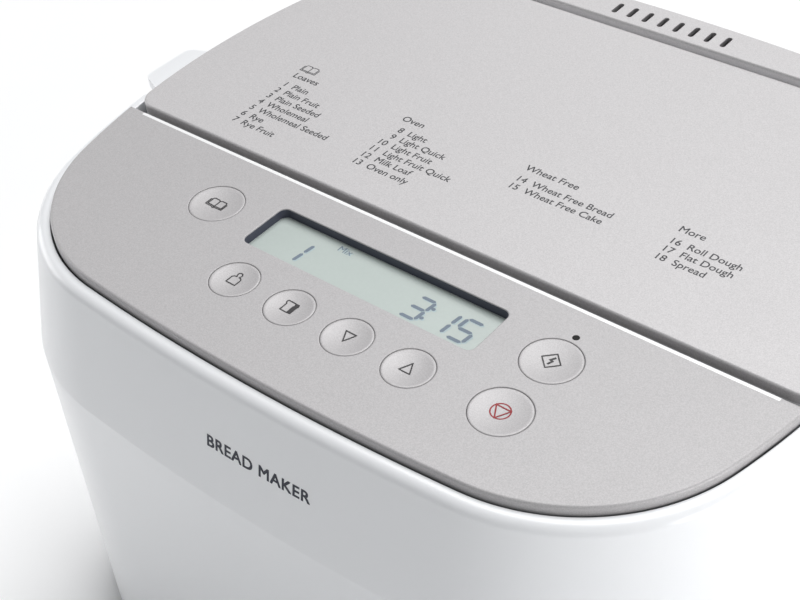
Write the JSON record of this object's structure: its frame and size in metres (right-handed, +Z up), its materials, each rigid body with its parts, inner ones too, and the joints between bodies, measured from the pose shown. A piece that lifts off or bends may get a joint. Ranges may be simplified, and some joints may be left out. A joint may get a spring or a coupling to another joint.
{
  "type": "bread machine",
  "caption": "Table-top bread maker with a flared case, a front key panel and display, and a rear-hinged lid over a baking chamber with a lift-out pan, kneading blade and belt drive.",
  "frame": {"origin": "on the table, at the middle of the machine's footprint", "axes": "+X to the user's right, -Y towards the user in front, +Z up"},
  "size_m": [0.408, 0.362, 0.25],
  "materials": {
    "white_plastic": "satin moulded plastic",
    "champagne_metal": "fine metallic lacquer",
    "key_plastic": "fine metallic lacquer",
    "display_glass": "clear",
    "display_module": "satin",
    "dark_plastic": "fine grain",
    "grey_plastic": "fine grain",
    "black_plastic": "gloss",
    "board": "solder mask",
    "rubber": "matt",
    "silicone": "matt",
    "screw_steel": "zinc plated",
    "sheet_steel": "aluminised sheet",
    "heater_steel": "oxidised",
    "print_ink": "printed",
    "red_ink": "printed",
    "diamond_coat": "non-stick coated casting",
    "aluminium": "satin",
    "bronze": "sintered",
    "laminations": "stacked",
    "copper": "enamelled wire",
    "ceramic": "matt",
    "belt_rubber": "matt"
  },
  "bodies": {
    "case": {"outer_case": "white_plastic", "base_plate": "grey_plastic", "base_screws": "screw_steel", "rubber_feet": "rubber", "top_deck": "grey_plastic", "deck_screws": "screw_steel", "rear_cover": "champagne_metal", "control_panel": "champagne_metal", "panel_carrier": "grey_plastic", "display_bezel": "dark_plastic", "display_glass": "display_glass", "display_module": "display_module", "control_board": "board", "key_switches": "black_plastic", "status_led": "black_plastic", "hinge_brackets": "sheet_steel", "hinge_pins": "screw_steel", "baking_chamber": "sheet_steel", "heat_shield": "aluminium", "heating_element": "heater_steel", "heater_clips": "sheet_steel", "heater_terminals": "ceramic", "chamber_sensor": "screw_steel", "pan_seat": "sheet_steel", "drive_belt": "belt_rubber", "bearing_housing": "aluminium", "shaft_bushes": "bronze", "drive_frame": "sheet_steel", "motor_bells": "aluminium", "motor_stator": "laminations", "motor_coils": "copper", "run_capacitor": "aluminium", "power_board": "board", "power_components": "black_plastic", "cord_gland": "black_plastic"},
    "lid": {"lid_plate": "champagne_metal", "lid_shell": "white_plastic", "lid_inner_frame": "grey_plastic", "lid_liner": "aluminium", "lid_seal": "silicone", "lid_screws": "screw_steel"},
    "menu_key": {"menu_button": "key_plastic"},
    "start_key": {"start_button": "key_plastic"},
    "stop_key": {"stop_button": "key_plastic"},
    "size_key": {"size_button": "key_plastic"},
    "crust_key": {"crust_button": "key_plastic"},
    "down_key": {"down_button": "key_plastic"},
    "up_key": {"up_button": "key_plastic"},
    "drive": {"drive_shaft": "screw_steel", "drive_pulley": "dark_plastic", "drive_coupler": "sheet_steel"},
    "rotor": {"motor_rotor": "screw_steel", "motor_pulley": "screw_steel"},
    "pan": {"bread_pan": "diamond_coat", "pan_bush": "bronze"},
    "handle": {"pan_handle": "screw_steel"},
    "blade": {"kneading_blade": "diamond_coat", "blade_shaft": "screw_steel", "pan_coupler": "sheet_steel"}
  },
  "joints": [
    {"name": "lid_hinge", "type": "hinge", "parent": "case", "child": "lid", "pos_m": [0, 0.13, 0.241], "axis": [-1, 0, 0], "range_deg": [0, 85]},
    {"name": "menu_key_press", "type": "slide", "parent": "case", "child": "menu_key", "axis": [0, 0, -1], "range_m": [0, 0.0008], "stiffness_N_per_m": 600},
    {"name": "start_key_press", "type": "slide", "parent": "case", "child": "start_key", "axis": [0, 0, -1], "range_m": [0, 0.0008], "stiffness_N_per_m": 600},
    {"name": "stop_key_press", "type": "slide", "parent": "case", "child": "stop_key", "axis": [0, 0, -1], "range_m": [0, 0.0008], "stiffness_N_per_m": 600},
    {"name": "size_key_press", "type": "slide", "parent": "case", "child": "size_key", "axis": [0, 0, -1], "range_m": [0, 0.0008], "stiffness_N_per_m": 600},
    {"name": "crust_key_press", "type": "slide", "parent": "case", "child": "crust_key", "axis": [0, 0, -1], "range_m": [0, 0.0008], "stiffness_N_per_m": 600},
    {"name": "down_key_press", "type": "slide", "parent": "case", "child": "down_key", "axis": [0, 0, -1], "range_m": [0, 0.0008], "stiffness_N_per_m": 600},
    {"name": "up_key_press", "type": "slide", "parent": "case", "child": "up_key", "axis": [0, 0, -1], "range_m": [0, 0.0008], "stiffness_N_per_m": 600},
    {"name": "drive_spin", "type": "hinge", "parent": "case", "child": "drive", "pos_m": [0, 0.04, 0], "axis": [0, 0, 1], "continuous": true},
    {"name": "rotor_spin", "type": "hinge", "parent": "case", "child": "rotor", "pos_m": [0, -0.105, 0], "axis": [0, 0, 1], "continuous": true},
    {"name": "pan_lift", "type": "slide", "parent": "case", "child": "pan", "axis": [0, 0, 1], "range_m": [0, 0.01]},
    {"name": "handle_swing", "type": "hinge", "parent": "pan", "child": "handle", "pos_m": [0, 0.04, 0.2115], "axis": [-1, 0, 0], "range_deg": [0, 11]},
    {"name": "blade_spin", "type": "hinge", "parent": "pan", "child": "blade", "pos_m": [0, 0.04, 0], "axis": [0, 0, 1], "continuous": true}
  ],
  "couplings": [
    {"joint": "rotor_spin", "follows": "drive_spin", "ratio": 4.9726},
    {"joint": "blade_spin", "follows": "drive_spin", "ratio": 1}
  ]
}
